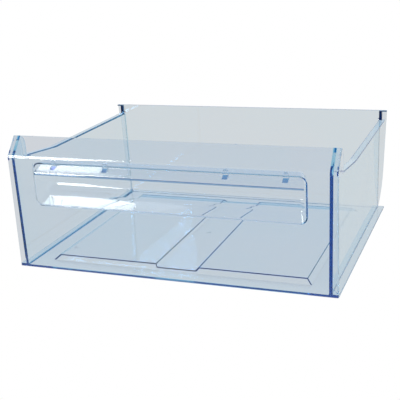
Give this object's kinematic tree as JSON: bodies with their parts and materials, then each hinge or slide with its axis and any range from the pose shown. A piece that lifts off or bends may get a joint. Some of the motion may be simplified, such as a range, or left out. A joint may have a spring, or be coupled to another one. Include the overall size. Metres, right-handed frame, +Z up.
{
  "type": "freezer drawer",
  "caption": "Clear plastic freezer drawer: open box with out-turned side rims and runner flanges, raised floor, and a front panel with a finger recess, grip bar and leaning top strip.",
  "frame": {"origin": "middle of the drawer's footprint, at the height of its underside", "axes": "+X to the right seen from the front, +Y to the back, +Z up"},
  "size_m": [0.4612, 0.355, 0.1849],
  "materials": {
    "clear_tub": "clear moulded, faint blue tint, deep blue at the cut edges",
    "clear_front": "clear moulded, polished outer face",
    "clear_bar": "clear moulded, polished"
  },
  "bodies": {
    "root": {"tub": "clear_tub", "front_panel": "clear_front", "grip_bar": "clear_bar"}
  },
  "joints": []
}
